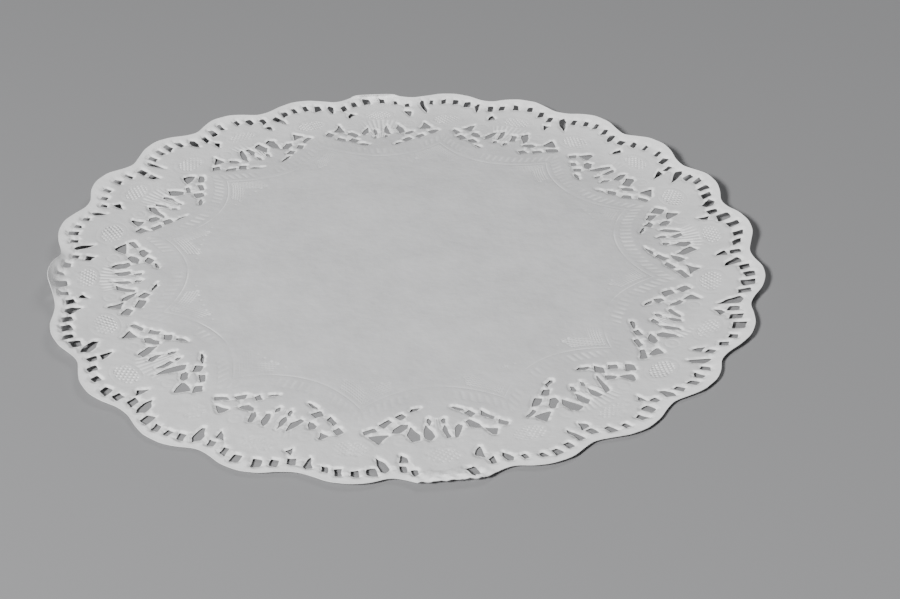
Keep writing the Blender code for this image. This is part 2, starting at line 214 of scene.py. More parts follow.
holes = {
    "seed": 24,
    "sizeScatter": 0.10,
    "placeScatter": 0.30,
    "leanScatter": 6.0,
    "cornerScatter": 0.25,       # as a share of half the hole
    "swell": 1.15,               # makes up for what the corners and sides lose
    "corner": 0.21,              # share of half a side that rounds a corner
    "waist": 0.015,              # how far a side is drawn in, as a share of its length
    "waver": 0.095,              # scatter of that share
    "tail": 0.45,                # how far one corner may be drawn out
    "slimness": 0.14,            # scatter of a hole's width alone
    "forms": {
        # corners, as shares of half the width and half the length
        "slot": ((-0.90, -1.00), (1.00, -0.85), (0.85, 1.00), (-1.00, 0.90)),
        "gable": ((-1.00, -0.90), (1.00, -0.45), (0.80, 0.00), (-0.20, 1.00)),
        "pennant": ((0.80, -1.00), (1.00, 0.85), (0.60, 1.00), (-1.00, 0.10)),
        "oval": ((-0.95, -0.50), (-0.10, -1.00), (0.85, -0.55),
                 (0.95, 0.45), (0.15, 1.00), (-0.80, 0.60)),
        "blade": ((-0.10, -1.00), (0.90, -0.35), (0.85, 0.45),
                  (0.25, 1.00), (-0.90, 0.75), (-0.70, -0.10)),
        "tear": ((-0.90, -0.80), (0.10, -1.00), (0.95, -0.40), (0.80, 1.00), (0.25, 0.95)),
        "drop": ((0.20, -1.00), (1.00, 0.80), (-0.90, 1.00), (-0.60, 0.10)),
        "tail": ((0.05, -1.00), (0.70, -0.30), (1.00, 0.75),
                 (0.20, 1.00), (-0.95, 0.80), (-0.70, -0.10)),
        "lens": ((0.00, -1.00), (0.75, -0.45), (1.00, 0.25),
                 (0.20, 1.00), (-0.70, 0.55), (-0.90, -0.35)),
    },
    "fan": (
        # turn and lean clockwise: turn, out, length, width, lean, form
        (-12.0, 116.3, 3.7, 3.2, -45.0, "slot"),
        (12.4, 115.3, 5.0, 2.3, 56.0, "slot"),
        (-9.8, 119.8, 5.6, 4.4, -18.0, "pennant"),
        (10.6, 119.6, 5.2, 5.9, 0.0, "gable"),
        (-6.9, 114.7, 5.6, 3.0, -50.0, "oval"),
        (6.9, 113.6, 6.0, 3.4, 52.0, "oval"),
        (-7.0, 108.3, 3.6, 3.1, -38.0, "slot"),
        (6.5, 106.9, 3.5, 2.8, 45.0, "slot"),
        (-3.85, 116.3, 7.7, 3.4, 14.0, "tear"),
        (4.4, 117.9, 8.2, 3.9, -14.0, "blade"),
        (-1.45, 116.6, 7.5, 2.9, 2.0, "blade"),
        (1.65, 117.0, 7.5, 3.2, -6.0, "blade"),
        (6.5, 131.3, 4.2, 3.6, -8.0, "drop"),
    ),
    "slits": (
        # at the valleys: turn, length, width, lean
        (9.2, 7.9, 3.7, -22.0),
        (-9.4, 8.6, 3.7, -18.0),
    ),
    "slitInset": 4.6,            # from the edge to a slit's outer end
    "slitWidth": (0.85, 0.35),   # a shortened slit's width: least share, and what its length adds
    "slitClear": 0.7,            # degrees from a slit where the ladder has no hole
    "ladderHoles": 12,           # in each repeat
    "ladderInset": 6.2,
    "ladderSize": (3.80, 2.98),  # length and width
    "ladderSpread": 0.35,        # degrees that its holes stand off the fan's axis
    "backShift": 1.1,            # at the back the holes lie nearer the edge
    "foldCloses": 4.0,           # degrees each side of the fold's axis without a hole
    "besideSpan": 6.0,           # and without a usual one
    "besideFold": (0.75, 2.20),  # sizes of the holes after and before the fold
    "besideShift": 0.85,         # how far both are turned clockwise
    "punching": (
        # sizes: ladder before the axis, ladder after it, fan, then the slit before:
        # its length and its turn, and the slit after: its turn
        (1.12, 1.00, 1.15, 0.60, 8.0, 0.0),
        (0.75, 0.84, 0.93, 0.55, 9.0, 0.0),
        (0.78, 0.83, 0.94, 0.55, 9.0, 0.0),
        (0.87, 0.68, 1.02, 0.60, 8.0, 0.0),
        (0.88, 0.82, 0.96, 0.55, 9.0, 0.0),
        (0.67, 0.83, 1.07, 0.65, 8.0, 0.0),
        (1.10, 0.80, 0.97, 0.60, 8.0, 0.0),
        (1.00, 0.95, 1.06, 0.96, 0.0, 0.0),
        (0.98, 0.91, 0.88, 0.60, 8.0, 18.0),
        (0.74, 0.86, 0.96, 0.55, 8.0, 0.0),
        (0.91, 0.87, 1.06, 0.60, 8.0, 22.0),
        (1.17, 0.85, 1.08, 1.00, 0.0, 0.0),
    ),
    "small": (
        # the smaller openings of each fan: turn, out, length, width, lean, form, share of the fans
        (-10.0, 110.8, 4.2, 2.5, -46.0, "slot", 1.0),
        (9.6, 110.3, 4.3, 2.4, 45.0, "slot", 1.0),
        (-4.9, 103.8, 5.4, 1.7, -60.0, "lens", 1.0),
        (4.1, 103.1, 5.0, 1.6, 60.0, "lens", 0.95),
        (-1.5, 110.4, 3.7, 2.1, -2.0, "lens", 0.95),
        (1.1, 110.4, 3.8, 2.0, 5.0, "lens", 1.00),
        (-5.7, 131.1, 4.5, 2.9, 30.0, "drop", 1.0),
    ),
    "smallSizes": (0.90, 1.08),
    "smallSeed": 5,
    "turnable": ("blade", "tear"),
    "turnedShare": 0.4,          # how many of those are turned end for end
    "strand": 0.75,              # the least paper left between two holes
    "strandReach": 11.0,         # holes further apart than this need no test
    "strandShrink": 0.95,
}


# One corner is drawn out, the sides are bent in or out a little, then every corner is cut off
def torn(corners, random):
    middle = corners.mean(axis=0)
    corners = corners.copy()
    drawn = random.integers(len(corners))
    corners[drawn] += (corners[drawn] - middle) * random.uniform(0.0, holes["tail"])
    side = np.roll(corners, -1, axis=0) - corners
    share = holes["waist"] + random.uniform(-holes["waver"], holes["waver"], (len(corners), 1))
    bent = corners + 0.5 * side + share * side[:, ::-1] * (-1.0, 1.0)
    ring = np.stack([corners, bent], axis=1).reshape(-1, 2)
    step = holes["corner"] * (np.roll(ring, -1, axis=0) - ring)
    return np.stack([ring + step, np.roll(ring, -1, axis=0) - step], axis=1).reshape(-1, 2)


# A form's corners, scattered, sized, leant and placed in the chart
def holeLoop(bearing, middleAcross, out, length, width, lean, form, random, few):
    corners = np.array(holes["forms"][form])
    if form in holes["turnable"] and few.uniform() < holes["turnedShare"]:
        corners = -corners
    scatter = holes["cornerScatter"]
    corners = corners + random.uniform(-scatter, scatter, corners.shape)
    width = width * few.uniform(1.0 - holes["slimness"], 1.0 + holes["slimness"])
    corners = corners * (0.5 * width, 0.5 * length)
    lean = math.radians(lean + random.uniform(-holes["leanScatter"], holes["leanScatter"]))
    across = corners[:, 0] * math.cos(lean) + corners[:, 1] * math.sin(lean)
    along = corners[:, 1] * math.cos(lean) - corners[:, 0] * math.sin(lean)
    across = across + middleAcross + random.uniform(-holes["placeScatter"], holes["placeScatter"])
    along = along + out + random.uniform(-holes["placeScatter"], holes["placeScatter"])
    corners = fromFan(across, along, bearing)
    middle = corners.mean(axis=0)
    return torn(middle + (corners - middle) * holes["swell"], few)


def dieRadius(bearing, inset):  # radius that far in from the edge, or less far towards the back
    shift = holes["backShift"] * max(0.0, math.sin(math.radians(bearing)))
    return float(edgeRadius(bearing)) - inset + shift


def scattered(random):  # a hole's own share of its usual size
    return random.uniform(1 - holes["sizeScatter"], 1 + holes["sizeScatter"])


# Holes that come too close shrink a little at a time until a strand is left between them
def keptApart(loops):
    middles = np.array([loop.mean(axis=0) for loop in loops])
    apart = np.hypot(*(middles[:, None] - middles[None]).transpose(2, 0, 1))
    pairs = [tuple(pair) for pair in np.argwhere(np.triu(apart < holes["strandReach"], 1))]
    while pairs:
        dense = {each: alongLoops([loops[each]]) for each in set(np.ravel(pairs))}
        pairs = [(one, other) for one, other in pairs
                 if ((dense[one][:, None] - dense[other]) ** 2).sum(axis=2).min() < holes["strand"] ** 2]
        for each in set(np.ravel(pairs).astype(int)):
            loops[each] = middles[each] + holes["strandShrink"] * (loops[each] - middles[each])
    return loops


def fanLoops(index, random, few):
    fan = holes["punching"][index][2]
    for turn, out, length, width, lean, form in holes["fan"]:
        size = fan * scattered(random)
        bearing = fanBearing(index) - turn
        yield holeLoop(bearing, 0.0, out, size * length, size * width, lean, form, random, few)


def slitLoops(index, random, few):  # each hangs inwards from its outer end at the valley
    before, after, _, slitBefore, turnBefore, turnAfter = holes["punching"][index]
    for turn, length, width, lean in holes["slits"]:
        size = (after if turn > 0 else before) * scattered(random)
        if turn < 0:
            least, added = holes["slitWidth"]
            length, width = length * slitBefore, width * (least + added * slitBefore)
        lean += turnAfter if turn > 0 else turnBefore
        bearing = fanBearing(index) - turn
        across = -0.5 * length * math.sin(math.radians(lean))
        out = dieRadius(bearing, holes["slitInset"]) - 0.5 * length * math.cos(math.radians(lean))
        yield holeLoop(bearing, across, out, length, size * width, lean, "tail", random, few)


def ladderLoops(index, random, few):  # the row along the rim, with none at a slit or in the fold
    before, after = holes["punching"][index][:2]
    for step in range(holes["ladderHoles"]):
        turn = (step + 0.5) * repeatAngle / holes["ladderHoles"]
        turn = turn if turn < 0.5 * repeatAngle else turn - repeatAngle
        fromAxis = 2.0 * turn / repeatAngle
        turn = turn + math.copysign(holes["ladderSpread"] * (1.0 - fromAxis ** 4), turn)
        size = (after if turn > 0 else before) * scattered(random)
        length, width = holes["ladderSize"]
        folded = index == lay["foldRepeat"] and abs(turn) < holes["foldCloses"]
        if index == lay["foldRepeat"] and abs(turn) < holes["besideSpan"]:
            beside = holes["besideFold"][0 if turn > 0 else 1]
            length, width = length * beside, width * beside
            turn += holes["besideShift"]
        bearing = fanBearing(index) - turn
        out = dieRadius(bearing, holes["ladderInset"])
        loop = holeLoop(bearing, 0.0, out, size * length, size * width, 0.0, "slot", random, few)
        valley = min(abs(turn - row[0]) for row in holes["slits"]) < holes["slitClear"]
        if not valley and not folded:
            yield loop


def smallLoops(index, few):
    fan = holes["punching"][index][2]
    for turn, out, length, width, lean, form, share in holes["small"]:
        size = fan * few.uniform(*holes["smallSizes"])
        kept = few.uniform() < share
        bearing = fanBearing(index) - turn
        loop = holeLoop(bearing, 0.0, out, size * length, size * width, lean, form, few, few)
        if kept:
            yield loop


def holeLoops():  # every hole's outline, repeat by repeat
    random = np.random.default_rng(holes["seed"])
    few = np.random.default_rng(holes["smallSeed"])
    loops = []
    for index in range(cut["repeats"]):
        loops += fanLoops(index, random, few)
        loops += slitLoops(index, random, few)
        loops += ladderLoops(index, random, few)
        loops += smallLoops(index, few)
    return keptApart(loops)


def edgeLoop():  # the outer edge, wavering as three sines
    count = 2 * cut["repeats"] * cut["pointsPerScallop"]
    bearing = cut["firstFan"] + np.arange(count) * 360.0 / count
    a = np.radians(bearing)
    waver = sum(share * np.sin(waves * a + phase) for waves, share, phase in cut["edgeWaves"])
    return polar(edgeRadius(bearing) + cut["edgeWaver"] * waver, bearing)


# The embossing, charted for one repeat in the fan's own frame

emboss = {
    "lip": (0.38, 0.8),          # depth and reach of the lip turned down round every hole
    "mainOval": (0.0, 130.6, 6.4, 3.6),  # turn, out, half across, half along
    "midOval": (15.0, 126.6, 6.6, 4.4),
    "blobPitch": 1.55,
    "blobDepth": 0.34,
    "netEdge": (0.90, 1.04),     # shares of the oval between which the blobs end
    "ringGap": (1.9, 1.5),       # from the blobs to the ring, across and along
    "ringWidth": 0.75,
    "ringDepth": 0.06,
    "rayFoot": (-0.6, 101.5),    # where the fan's rays spring from
    "rayPitch": 5.6,             # degrees
    "raySpan": (9.0, 25.5, 24.0),  # nearest, furthest, half spread in degrees
    "rayFade": (3.0, 2.0, 3.0),  # over how much each of those fades
    "rayDepth": 0.16,
    "scroll": (14.2, 121.0, 2.7, 0.08),  # across, out, radius, depth
    "scrollWidth": (0.8, 1.1),   # of its ring and of its eye
    "border": (89.9, 0.0139, 27.0),  # out at the axis, how it bows, half length across
    "borderWidth": 0.70,
    "borderDepth": 0.08,
    "bars": (2.4, 8.0, 3.15, 0.08),  # from and to above the border, pitch, depth
    "barFade": (0.6, 1.2),       # at their lower and upper ends
    "barCrowd": 0.004,           # how much closer they stand away from the axis
    "patch": (1.6, 8.6, 14.0, 1.25),  # from and to below the border, where it starts across, pitch
    "patchFade": (0.2, 0.4, 0.5),
    "patchCross": (0.55, 0.8),   # slant and share of its second set of lines
    "dots": (87.0, 2.3, 0.75, 0.20),  # radius, degrees apart, size, depth
    "dotFade": (5.0, 8.0),       # degrees from the axis between which they set in
    "bandLines": (1.25, 4.1),    # insets of the rim band's two pressed lines
    "bandWidth": (0.9, 1.2),
    "bandDepth": 0.10,
}


def blobs(u, v, pitch):  # a diamond net: cos^2 along both diagonals
    a, b = (u + v) / math.sqrt(2.0), (u - v) / math.sqrt(2.0)
    return np.cos(np.pi * a / pitch) ** 2 * np.cos(np.pi * b / pitch) ** 2


def hump(distance, width):  # 1 on the line, easing to 0 at width on both sides
    return 1.0 - ease(0.0, 1.0, np.abs(distance) / width)


def ovalRelief(across, out, oval):  # the net of blobs and the ring round it
    turn, middle, halfAcross, halfAlong = oval
    a = math.radians(turn)
    u = across * math.cos(a) - out * math.sin(a)
    v = across * math.sin(a) + out * math.cos(a) - middle
    inside = np.hypot(u / halfAcross, v / halfAlong)
    net = emboss["blobDepth"] * blobs(u, v, emboss["blobPitch"]) * (1.0 - ease(*emboss["netEdge"], inside))
    gapAcross, gapAlong = emboss["ringGap"]
    ring = np.hypot(u / (halfAcross + gapAcross), v / (halfAlong + gapAlong))
    fromRing = (ring - 1.0) * (0.5 * (halfAcross + halfAlong) + gapAlong)
    return net + emboss["ringDepth"] * hump(fromRing, emboss["ringWidth"])


def borderOut(across):  # the bowed line under a fan
    out, bow, _ = emboss["border"]
    return out + bow * across ** 2


# Depth of the pressed pattern, repeated round the sheet and mirrored across each axis
def relief(points):
    radius, bearing = fromMiddle(points)
    halfRepeat = 0.5 * repeatAngle
    turn = -(wrapped(bearing - cut["firstFan"] + halfRepeat) % repeatAngle - halfRepeat)
    across, out = radius * np.sin(np.radians(turn)), radius * np.cos(np.radians(turn))
    depth = ovalRelief(across, out, emboss["mainOval"])
    side = np.where(across < 0, -1.0, 1.0)
    depth += ovalRelief(side * across, out, emboss["midOval"])

    footAcross, footOut = emboss["rayFoot"]
    fromFoot = np.hypot(across - footAcross, out - footOut)
    spread = np.degrees(np.arctan2(across - footAcross, out - footOut))
    near, far, half = emboss["raySpan"]
    nearFade, farFade, sideFade = emboss["rayFade"]
    rays = 0.5 + 0.5 * np.cos(2 * np.pi * spread / emboss["rayPitch"])
    rays = rays * (1.0 - ease(half - sideFade, half, np.abs(spread)))
    rays *= ease(near - nearFade, near, fromFoot) * (1.0 - ease(far - farFade, far, fromFoot))
    depth += emboss["rayDepth"] * rays

    scrollAcross, scrollOut, scrollRadius, scrollDepth = emboss["scroll"]
    ringWidth, eyeWidth = emboss["scrollWidth"]
    fromScroll = np.hypot(np.abs(across) - scrollAcross, out - scrollOut)
    depth += scrollDepth * (hump(fromScroll - scrollRadius, ringWidth) + hump(fromScroll, eyeWidth))

    above = out - borderOut(across)
    depth += emboss["borderDepth"] * hump(above, emboss["borderWidth"])
    low, high, pitch, barDepth = emboss["bars"]
    lowFade, highFade = emboss["barFade"]
    crowding = 1.0 + emboss["barCrowd"] * np.abs(across)
    bars = 0.5 + 0.5 * np.cos(2 * np.pi * across * crowding / pitch)
    bars = barDepth * bars * ease(low - lowFade, low + lowFade, above)
    depth += bars * (1.0 - ease(high - highFade, high, above))

    ringRadius, apart, size, dotDepth = emboss["dots"]
    along = (turn / apart - np.round(turn / apart)) * np.radians(apart) * ringRadius
    dots = np.exp(-((along ** 2 + (radius - ringRadius) ** 2) / size ** 2))
    depth += dotDepth * dots * ease(*emboss["dotFade"], np.abs(turn))
    return depth


# Points for the mesh: a net that is finer where the pattern is

net = {
    "bands": (
        # nearest and furthest radius, spacing, clearance from what lies there already
        (88.0, 150.0, 1.42, 0.92),
        (76.0, 88.0, 2.6, 1.7),
        (0.0, 76.0, 5.5, 3.0),
    ),
    "reach": 150.0,
    "rowShare": 0.866,           # of the spacing, between rows
    "foldSteps": (-16.0, 16.1, 0.9),
    "foldClear": 0.22,
    "lipClear": (0.72, 0.75),    # from every hole's edge and from other points
    "patternClear": 0.7,         # from what lies there already
    "patternApart": 0.75,        # between one repeat's own points
    "ringLines": ((-0.75, 30), (0.0, 36), (0.8, 36)),  # from an oval's ring, and how many points
    "scrollEye": (1.1, 7),       # radius, and how many points
    "scrollLines": ((-0.8, 12), (0.0, 17), (0.85, 21)),  # the same from a scroll's ring
    "borderLines": (-0.75, 0.0, 0.75),
    "borderStep": 1.5,
    "barRows": 5,
    "rayStep": 1.55,
    "linesClear": 0.65,
    "linesStep": 0.55,           # degrees, along the rim band's lines
    "rimClear": 0.3,
    "clear": 0.55,               # no point is closer to a hole or an edge than this
    "edgeStep": 0.45,            # edges are measured at points no further apart than this
    "sector": 5.0,               # degrees worked at a time
    "beyond": 4.0,               # and how far to each side others are looked for
    "sharpest": 0.3,             # keeps the foot of a lip from running off at a sharp corner
}


def hexNet(spacing, reach):  # rows of points, every second row half a step along
    rows = int(reach / (spacing * net["rowShare"])) + 2
    across = np.arange(-rows - 2, rows + 3) * spacing
    out = np.arange(-rows - 2, rows + 3) * spacing * net["rowShare"]
    x, y = np.meshgrid(across, out)
    x = x + 0.5 * spacing * (np.arange(len(out))[:, None] % 2)
    return places(x.ravel(), y.ravel())


def ovalNet(oval):  # the blobs and the gaps between them, then the ring's line and its two edges
    turn, middle, halfAcross, halfAlong = oval
    half = 0.5 * emboss["blobPitch"]
    count = int((halfAcross + halfAlong) / half)
    steps = np.arange(-count, count + 1)
    i, j = np.meshgrid(steps, steps)
    u, v = (i + j).ravel() * half / math.sqrt(2.0), (i - j).ravel() * half / math.sqrt(2.0)
    inside = np.hypot(u / halfAcross, v / halfAlong) < emboss["netEdge"][1]
    u, v = u[inside], v[inside]
    for offset, count in net["ringLines"]:
        around = np.radians(np.arange(count) * 360.0 / count)
        u = np.append(u, (halfAcross + emboss["ringGap"][0] + offset) * np.cos(around))
        v = np.append(v, (halfAlong + emboss["ringGap"][1] + offset) * np.sin(around))
    a = math.radians(turn)
    across = u * math.cos(a) + (v + middle) * math.sin(a)
    out = -u * math.sin(a) + (v + middle) * math.cos(a)
    return places(across, out)


def borderNet():  # along the border's line and its edges, then up each bar and each gap between bars
    reach = emboss["border"][2]
    across = np.arange(-reach, reach + 0.1, net["borderStep"])
    rows = [places(across, borderOut(across) + step) for step in net["borderLines"]]
    low, high, pitch, _ = emboss["bars"]
    count = int(2 * reach / pitch)
    bars = np.arange(-count, count + 1) * 0.5 * pitch
    bars = bars / (0.5 + np.sqrt(0.25 + emboss["barCrowd"] * np.abs(bars)))
    for step in np.linspace(low, high, net["barRows"]):
        rows.append(places(bars, borderOut(bars) + step))
    return np.concatenate(rows)


def rayNet():  # along each ray and each gap between rays
    footAcross, footOut = emboss["rayFoot"]
    near, far, half = emboss["raySpan"]
    count = int(2 * half / emboss["rayPitch"])
    spread = np.arange(-count, count + 1) * 0.5 * emboss["rayPitch"]
    away = np.arange(near, far, net["rayStep"])
    s, r = np.meshgrid(np.radians(spread), away)
    return places(footAcross + (r * np.sin(s)).ravel(), footOut + (r * np.cos(s)).ravel())


def scrollNet():  # each scroll's eye, its line and both the line's edges
    across, out, radius, _ = emboss["scroll"]
    points = [np.array([[0.0, 0.0]])]
    for ring, count in (net["scrollEye"],) + tuple((radius + step, n) for step, n in net["scrollLines"]):
        around = np.radians(np.arange(count) * 360.0 / count)
        points.append(places(ring * np.cos(around), ring * np.sin(around)))
    points = np.concatenate(points)
    return np.concatenate([points + (side * across, out) for side in (-1, 1)])


def nearest(points, others):  # distance to the nearest of the others, sector by sector
    bearing, otherBearing = (fromMiddle(each)[1] % 360.0 for each in (points, others))
    distance = np.full(len(points), np.inf)
    sector = net["sector"]
    for start in np.arange(0.0, 360.0, sector):
        mine = np.nonzero((bearing >= start) & (bearing < start + sector))[0]
        near = others[np.abs(wrapped(otherBearing - start - 0.5 * sector)) < 0.5 * sector + net["beyond"]]
        if len(mine) and len(near):
            squares = ((points[mine][:, None, :] - near[None, :, :]) ** 2).sum(axis=2)
            distance[mine] = np.sqrt(squares.min(axis=1))
    return distance


def alongLoops(loops):  # points close together along every loop
    samples = []
    for loop in loops:
        following = np.roll(loop, -1, axis=0)
        parts = max(1, int(math.ceil(np.hypot(*(following - loop).T).max() / net["edgeStep"])))
        samples += [loop + (following - loop) * part / parts for part in range(parts)]
    return np.concatenate(samples)


def repeatNet():  # one repeat's points, in the fan's own frame
    kept = ovalNet(emboss["mainOval"])
    for points in (ovalNet(emboss["midOval"]), borderNet(), scrollNet(), rayNet()):
        squares = ((points[:, None, :] - kept[None, :, :]) ** 2).sum(axis=2).min(axis=1)
        kept = np.concatenate([kept, points[squares >= net["patternApart"] ** 2]])
    turn = np.degrees(np.arctan2(kept[:, 0], kept[:, 1]))
    return kept[(turn > -0.5 * repeatAngle) & (turn <= 0.5 * repeatAngle)]


def lipNet(loops):  # points round every hole where its lip starts to turn down
    feet = []
    for loop in loops:
        following = np.roll(loop, -1, axis=0)
        side = following - loop
        length = np.hypot(side[:, 0], side[:, 1])
        outward = side[:, ::-1] * (1.0, -1.0) / length[:, None]
        corner = outward + np.roll(outward, 1, axis=0)
        corner /= np.maximum(np.hypot(corner[:, 0], corner[:, 1]), net["sharpest"])[:, None]
        feet += [loop + corner * emboss["lip"][1], 0.5 * (loop + following) + outward * emboss["lip"][1]]
    return np.concatenate(feet)


def loosePoints(loops):  # every set of points in turn, each kept clear of those before it
    sets = []
    for fold in folds:
        across = np.arange(*net["foldSteps"])
        bearing = foldBearing(fold)
        for step in fold["rows"]:
            row = fromFan(across, fold["crease"] + fold["slope"] * across + step, bearing)
            sets.append((row, net["foldClear"]))
    edges = alongLoops(loops)
    feet = lipNet(loops[1:])
    fromEdge, fromOthers = net["lipClear"]
    sets.append((feet[nearest(feet, edges) > fromEdge], fromOthers))
    pattern = repeatNet()
    pattern = [fromFan(pattern[:, 0], pattern[:, 1], fanBearing(k)) for k in range(cut["repeats"])]
    sets.append((np.concatenate(pattern), net["patternClear"]))
    bearing = cut["firstFan"] + np.arange(0.0, 360.0, net["linesStep"])
    for inset in emboss["bandLines"]:
        sets.append((polar(edgeRadius(bearing) - inset, bearing), net["linesClear"]))
    for low, high, spacing, clear in net["bands"]:
        points = hexNet(spacing, net["reach"])
        radius, _ = fromMiddle(points)
        sets.append((points[(radius > low) & (radius <= high)], clear))
    kept = np.array([[0.0, 0.0]])
    for points, clear in sets:
        kept = np.concatenate([kept, points[nearest(points, kept) > clear]])
    radius, bearing = fromMiddle(kept)
    kept = kept[radius < edgeRadius(bearing) - net["rimClear"]]
    return kept[nearest(kept, edges) > net["clear"]]


# The sheet

paper = {
    "thickness": 0.20,
    "seat": 0.50,                # the mid surface above the table
    "lowest": 0.02,
    "lipFade": 1.1,              # distance from a hole over which the pattern sets in
    "holeReach": 9.0,            # the shader is told distances from a hole up to this one
    "folded": (0.3, 0.4),        # above this rise the pattern keeps this share
    "waveFade": (92.0, 122.0),   # radii between which the waves end
    "waves": (
        # the plain middle's slow waves: height, wavelength, bearing, phase
        (0.36, 61.0, 20.0, 0.3),
        (0.34, 47.0, 104.0, 1.9),
        (0.28, 83.0, 70.0, 4.0),
        (0.16, 26.0, 96.0, 2.2),
    ),
}

folds = (
    # the crushed front scallop lies folded on to the top, and the back one is rolled over loosely
    {"repeat": lay["foldRepeat"], "turn": 0.0, "crease": lay["foldCrease"], "slope": lay["foldSlope"],
     "angle": 176.0, "radius": 0.42, "span": 15.0,
     "rows": (-6.6, -5.9, -5.2, -4.2, -3.0, -2.0, -1.2, -0.5, 0.0, 0.33, 0.66, 0.99, 1.32, 1.8, 2.5)},
    {"repeat": 3, "turn": 1.5, "crease": 143.6, "slope": 0.0,
     "angle": 128.0, "radius": 0.75, "span": 15.0,
     "rows": (-0.5, 0.0, 0.4, 0.8, 1.2, 1.6, 2.1, 2.8)},
)

# The crushed strip along the front crease
rumple = {
    "fold": 0,
    "foot": (137.5, 138.5),      # where it climbs, out along the axis
    "wander": ((0.5, 0.55, 0.0), (0.3, 1.3, 1.0)),  # how its foot wanders: size, turns, phase
    "reach": (11.0, 17.5),       # where it fades, across
    "height": 0.50,
    "wrinkles": (
        # height, wavelength across, slant, phase
        (0.20, 5.3, 0.9, 0.4),
        (0.13, 3.4, -0.7, 2.0),
        (0.08, 2.3, 1.6, 4.1),
    ),
}


def rumpled(points):  # height of the crushed strip and its slanting wrinkles
    across, out = toFan(points, foldBearing(folds[rumple["fold"]]))
    low, high = rumple["foot"]
    foot = out
    for size, turns, phase in rumple["wander"]:
        foot = foot - size * np.sin(across * turns + phase)
    share = ease(low, high, foot) * (1.0 - ease(*rumple["reach"], np.abs(across)))
    height = np.full(len(points), rumple["height"])
    for wrinkle, pitch, slant, phase in rumple["wrinkles"]:
        height = height + wrinkle * np.sin(2 * np.pi * (across + slant * (out - low)) / pitch + phase)
    return height * share


def foldedOver(points):  # round each crease: an arc of the fold's radius, then straight on
    rise = np.zeros(len(points))
    for fold in folds:
        bearing = foldBearing(fold)
        across, out = toFan(points, bearing)
        crease = fold["crease"] + fold["slope"] * across
        past = np.where((np.abs(across) < fold["span"]) & (out > 0), np.maximum(out - crease, 0.0), 0.0)
        turned = np.minimum(past / fold["radius"], math.radians(fold["angle"]))
        rest = past - turned * fold["radius"]
        back = fold["radius"] * np.sin(turned) + rest * np.cos(turned)
        rise = rise + fold["radius"] * (1.0 - np.cos(turned)) + rest * np.sin(turned)
        out = np.where(past > 0, crease + back, out)
        points = fromFan(across, out, bearing)
    return points, rise


def sheetChart():  # the edge, the holes and the loose points, joined up by triangles in the chart
    loops = [edgeLoop()] + holeLoops()
    loose = loosePoints(loops)
    starts = np.cumsum([0] + [len(loop) for loop in loops])
    chart = np.concatenate(loops + [loose])
    edges, faces = [], []
    for start, loop in zip(starts, loops):
        count = len(loop)
        edges += [(int(start) + i, int(start) + (i + 1) % count) for i in range(count)]
        faces.append(list(range(int(start), int(start) + count)))
    # points, edges, triangles, and for each triangle the loops that it lies in: the edge's alone stay
    found = delaunay_2d_cdt([Vector(point) for point in chart], edges, faces, 1, 1e-6, True)
    flat = np.array([tuple(place) for place in found[0]])
    triangles = np.array([tri for tri, owners in zip(found[2], found[5]) if list(owners) == [0]])
    print("sheet chart:", len(loops) - 1, "holes,", len(flat), "points,", len(triangles), "triangles")
    used = np.unique(triangles)
    renumber = np.zeros(len(flat), dtype=int)
    renumber[used] = np.arange(len(used))
    return loops, flat[used], renumber[triangles]


def sheetSurface():  # mid surface points, triangles, the chart they came from and how far holes are
    loops, flat, triangles = sheetChart()
    lipDepth, lipReach = emboss["lip"]
    fromHole = nearest(flat, alongLoops(loops[1:]))
    depth = relief(flat) * ease(0.0, paper["lipFade"], fromHole)
    depth = depth + lipDepth * np.clip(1.0 - fromHole / lipReach, 0.0, 1.0)
    radius, bearing = fromMiddle(flat)
    inset = edgeRadius(bearing) - radius
    lines = [hump(inset - line, width) for line, width in zip(emboss["bandLines"], emboss["bandWidth"])]
    depth += emboss["bandDepth"] * sum(lines)
    for waveHeight, length, towards, phase in paper["waves"]:
        a = math.radians(towards)
        along = flat[:, 0] * math.cos(a) + flat[:, 1] * math.sin(a)
        swell = 0.5 + 0.5 * np.sin(2 * np.pi * along / length + phase)
        depth -= waveHeight * swell * (1.0 - ease(*paper["waveFade"], radius))
    folded, rise = foldedOver(flat)
    surface = carry(folded)
    surface[:, 2] += rumpled(folded)
    foldedRise, foldedShare = paper["folded"]
    surface[:, 2] += rise - depth * np.where(rise > foldedRise, foldedShare, 1.0) + paper["seat"]
    return flat, triangles, surface, fromHole


def addObject(name, data):
    added = bpy.data.objects.new(name, data)
    bpy.context.scene.collection.objects.link(added)
    return added


def vertexNormals(surface, triangles):  # the sum of the cross products of the triangles round a point
    a, b, c = (surface[triangles[:, i]] for i in range(3))
    face = np.cross(b - a, c - a)
    normals = np.zeros_like(surface)
    for i in range(3):
        np.add.at(normals, triangles[:, i], face)
    return normals / np.linalg.norm(normals, axis=1)[:, None]


